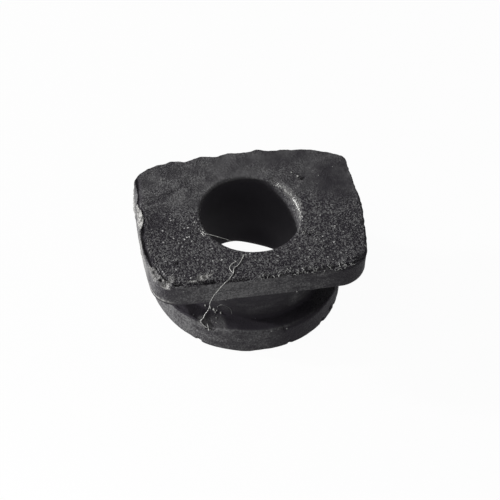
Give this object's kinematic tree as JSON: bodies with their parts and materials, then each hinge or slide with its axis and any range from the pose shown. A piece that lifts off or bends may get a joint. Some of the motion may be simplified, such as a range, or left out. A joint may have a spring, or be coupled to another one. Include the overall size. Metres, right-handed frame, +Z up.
{
  "type": "bushing",
  "caption": "Moulded rubber bushing: D-shaped head flange, grooved round neck, round collar foot and a plain bore right through.",
  "frame": {"origin": "on the bore's axis, in the plane of the collar's foot", "axes": "+Z up along the bore, from the collar to the flange; the flange's straight edge faces -Y and its arched edge faces +Y"},
  "size_m": [0.035, 0.03, 0.015],
  "materials": {
    "rubber": "matt moulded black rubber, dusty, worn edges"
  },
  "bodies": {
    "root": {"bushing": "rubber"}
  },
  "joints": []
}
